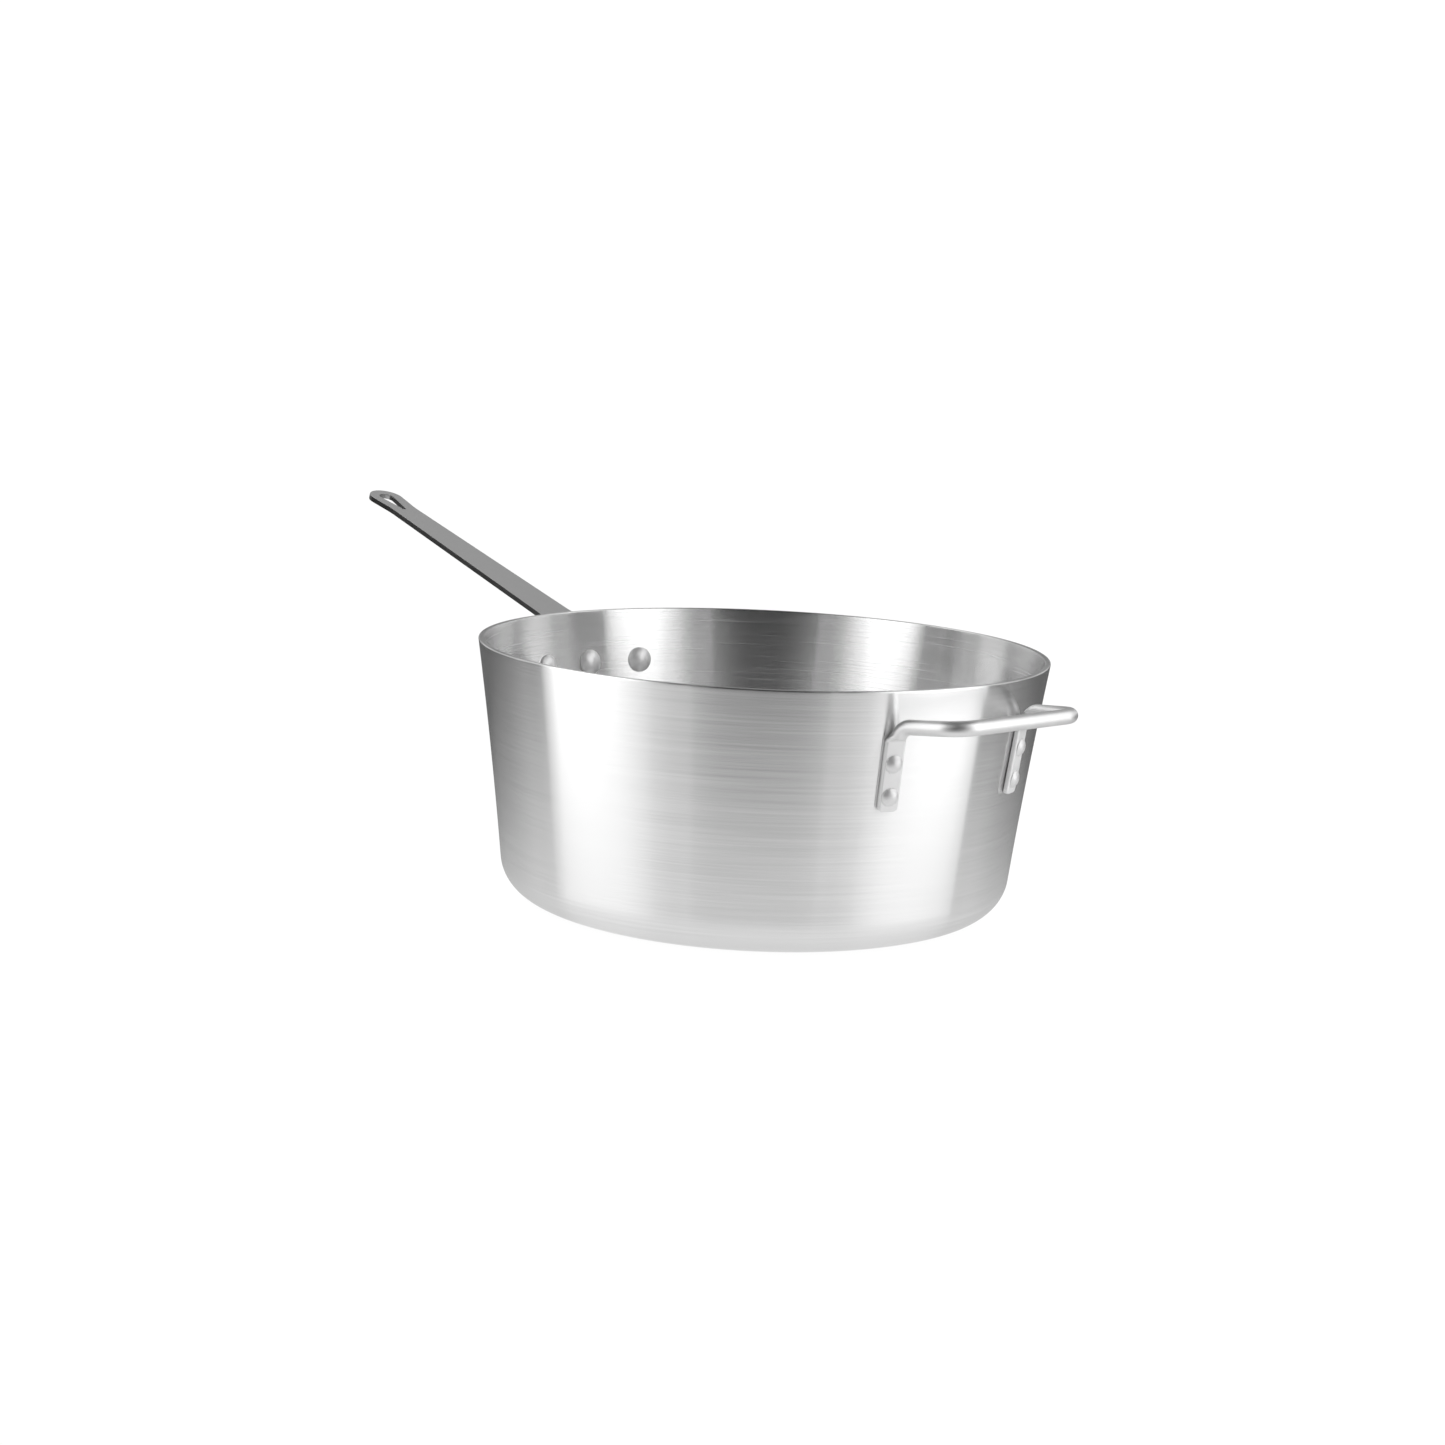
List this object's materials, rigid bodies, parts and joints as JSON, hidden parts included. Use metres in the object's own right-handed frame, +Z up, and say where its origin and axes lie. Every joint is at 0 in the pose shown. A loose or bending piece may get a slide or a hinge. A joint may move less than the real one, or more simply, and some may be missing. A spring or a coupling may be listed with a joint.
{
  "type": "cooking pot",
  "caption": "Tapered aluminium cooking pot, open at the top, with a long sloping steel strip handle and a short rod helper handle riveted to opposite sides",
  "frame": {"origin": "centre of the underside of the pot's floor", "axes": "+Z up along the pot's axis, -X towards the long handle, +X towards the helper handle, +Y to the left of a cook who holds the long handle and looks along +X"},
  "size_m": [0.5733, 0.318, 0.1962],
  "materials": {
    "pot_aluminium": "brushed round the pot, satin",
    "handle_steel": "matt grey plated strip with dark edges",
    "helper_aluminium": "tumbled, satin",
    "rivet_aluminium": "satin, lightly hammered"
  },
  "bodies": {
    "root": {"pot_body": "pot_aluminium", "long_handle": "handle_steel", "handle_rivet_left": "rivet_aluminium", "handle_rivet_centre": "rivet_aluminium", "handle_rivet_right": "rivet_aluminium", "helper_handle": "helper_aluminium", "helper_rivet_left_upper": "rivet_aluminium", "helper_rivet_left_lower": "rivet_aluminium", "helper_rivet_right_upper": "rivet_aluminium", "helper_rivet_right_lower": "rivet_aluminium"}
  },
  "joints": []
}
